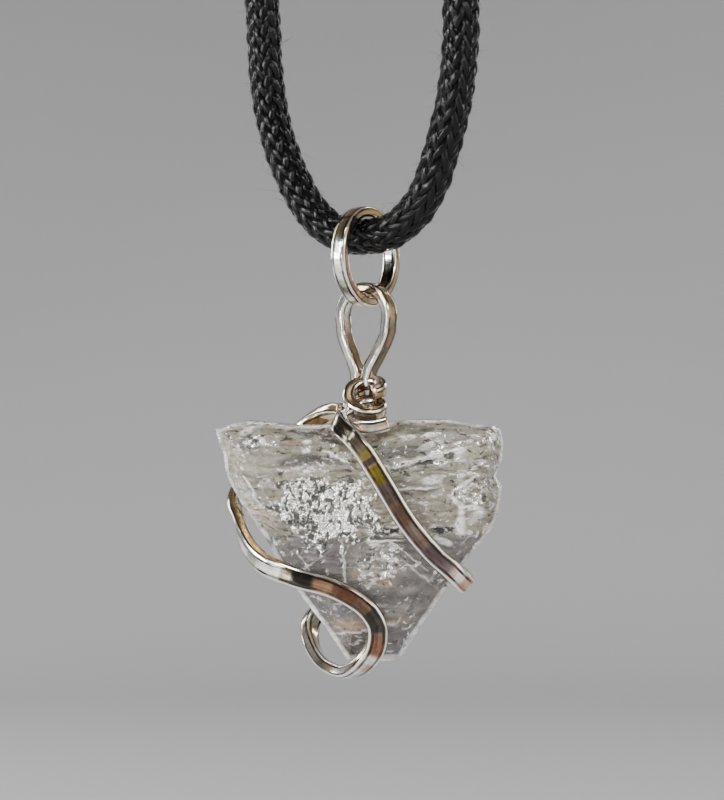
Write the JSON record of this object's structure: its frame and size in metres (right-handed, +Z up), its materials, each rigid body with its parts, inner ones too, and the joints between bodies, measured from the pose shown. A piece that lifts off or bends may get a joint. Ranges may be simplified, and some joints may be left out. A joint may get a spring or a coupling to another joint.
{
  "type": "wire-wrapped crystal pendant on a cord",
  "caption": "Rough clear crystal wrapped in squared silver wire, hanging by a teardrop bail and a jump ring from a black braided cord necklace.",
  "frame": {"origin": "top of the inside of the cord's loop, under the middle of the clasp, where the necklace hangs", "axes": "+Z up, the pendant's face looks along -Y, +X to the right of a viewer who faces it"},
  "size_m": [0.0696, 0.0143, 0.2004],
  "materials": {
    "cord": "waxed black round braid, faint gloss",
    "clasp": "plain polished barrel",
    "ring": "polished silver",
    "wire": "polished silver with soft scratches",
    "crystal": "rough clear crystal, broken faces, inner fractures"
  },
  "bodies": {
    "loop": {"cord": "cord", "clasp": "clasp"},
    "ring": {"jump_ring": "ring"},
    "pendant": {"wire_wrap": "wire", "crystal": "crystal"}
  },
  "joints": [
    {"name": "ring_swing", "type": "hinge", "parent": "loop", "child": "ring", "pos_m": [0, 0, -0.159], "axis": [0.8192, -0.5736, 0], "range_deg": [-60, 60]},
    {"name": "bail_swing", "type": "hinge", "parent": "ring", "child": "pendant", "pos_m": [0, 0, -0.1654], "axis": [0.5736, 0.8192, 0], "range_deg": [-35, 35]}
  ]
}
